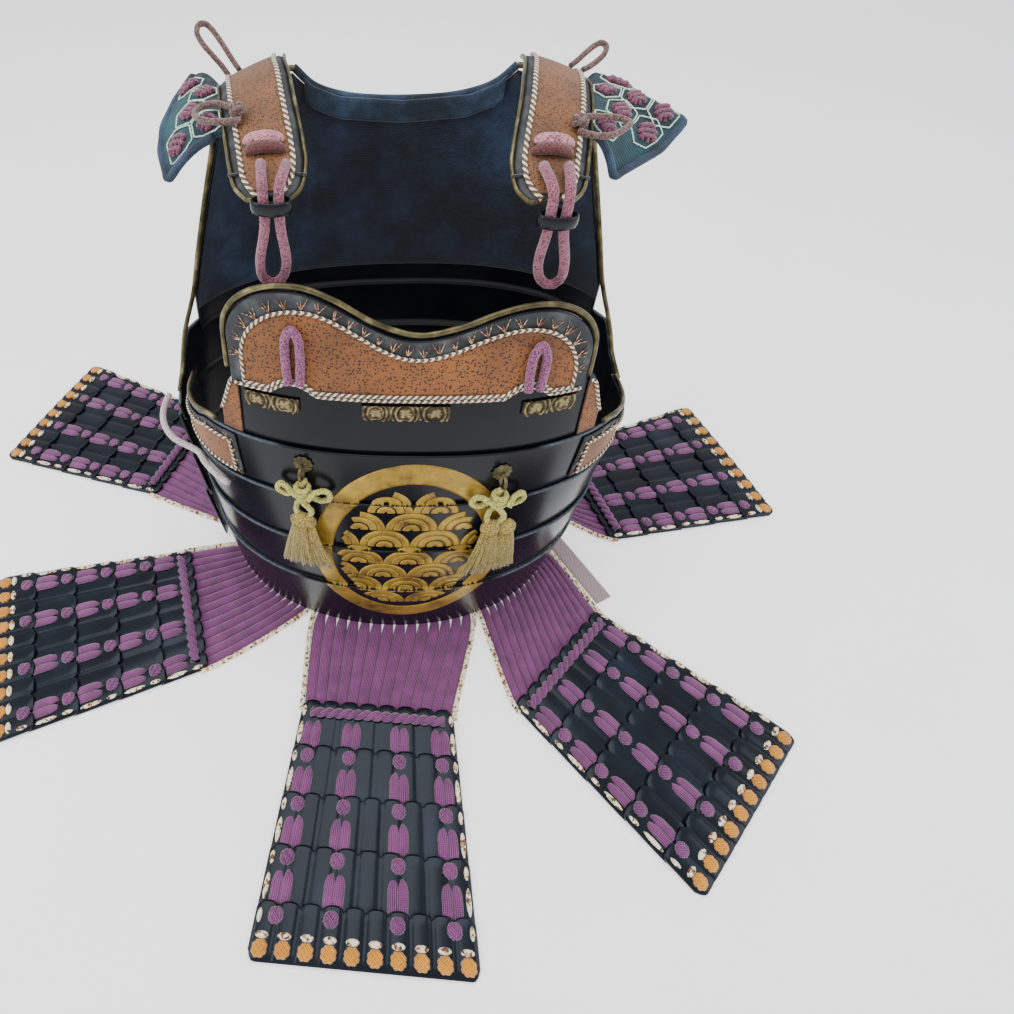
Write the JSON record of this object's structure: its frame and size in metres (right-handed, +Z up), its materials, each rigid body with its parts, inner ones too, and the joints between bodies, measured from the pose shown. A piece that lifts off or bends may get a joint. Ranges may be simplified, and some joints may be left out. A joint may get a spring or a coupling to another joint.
{
  "type": "samurai armour",
  "caption": "Lacquered plate cuirass with shoulder straps and laced skirt panels, standing on its hem with the skirt spread on the floor.",
  "frame": {"origin": "on the floor, under the middle of the outline of the whole armour with its skirt spread", "axes": "+Z up, the breast faces -Y, +X to the wearer's left, which is the right of the picture"},
  "size_m": [0.99, 0.8962, 0.4908],
  "materials": {
    "lacquer": "black lacquer on iron and hide, glossy, worn at the edges",
    "printed_leather": "orange-tan printed leather with a dark small pattern",
    "rim_metal": "aged brass, satin",
    "fitting_bronze": "dark antique bronze, embossed",
    "gilt": "worn gilding on copper",
    "purple_braid": "flat braided silk, purple",
    "pink_cord": "round braided silk cord, mauve pink",
    "dusky_cord": "round braided cord, faded pink brown",
    "yellow_cord": "twisted silk cord and fringe, yellow green",
    "indigo_linen": "plain weave linen, dark indigo, worn",
    "blue_twill": "blue twill",
    "quilted_cloth": "teal cloth with stitched hexagons and raised knots",
    "band_weave": "herringbone weave, grey pink"
  },
  "bodies": {
    "root": {"front_lame_1": "lacquer", "front_lame_2": "lacquer", "front_lame_3": "lacquer", "front_lame_4": "lacquer", "front_lame_5": "lacquer", "back_lame_1": "lacquer", "back_lame_2": "lacquer", "back_lame_3": "lacquer", "back_lame_4": "lacquer", "back_plate": "lacquer", "breast_plate": "lacquer", "slider_left": "lacquer", "slider_right": "lacquer", "panel_front": "lacquer", "panel_front_right": "lacquer", "panel_side_right": "lacquer", "panel_back_right": "lacquer", "panel_back_left": "lacquer", "panel_side_left": "lacquer", "panel_front_left": "lacquer", "breast_leather": "printed_leather", "side_leather_left": "printed_leather", "side_leather_right": "printed_leather", "strap_left": "printed_leather", "strap_right": "printed_leather", "breast_rim": "rim_metal", "back_rim": "rim_metal", "side_rim_left": "rim_metal", "side_rim_right": "rim_metal", "fitting_left": "fitting_bronze", "fitting_centre": "fitting_bronze", "fitting_right": "fitting_bronze", "ring_left": "gilt", "ring_right": "gilt", "lacing_front": "purple_braid", "lacing_front_right": "purple_braid", "lacing_side_right": "purple_braid", "lacing_back_right": "purple_braid", "lacing_back_left": "purple_braid", "lacing_side_left": "purple_braid", "lacing_front_left": "purple_braid", "chest_cord_left": "pink_cord", "chest_cord_right": "pink_cord", "strap_loop_left": "pink_cord", "strap_loop_right": "pink_cord", "buckle_left": "pink_cord", "buckle_right": "pink_cord", "loop_side_left": "dusky_cord", "loop_side_right": "dusky_cord", "loop_upright_left": "dusky_cord", "loop_upright_right": "dusky_cord", "side_tie": "dusky_cord", "tassel_left": "yellow_cord", "tassel_right": "yellow_cord", "back_lining": "indigo_linen", "neck_binding": "blue_twill", "wing_left": "quilted_cloth", "wing_right": "quilted_cloth", "waist_band": "band_weave"}
  },
  "joints": []
}
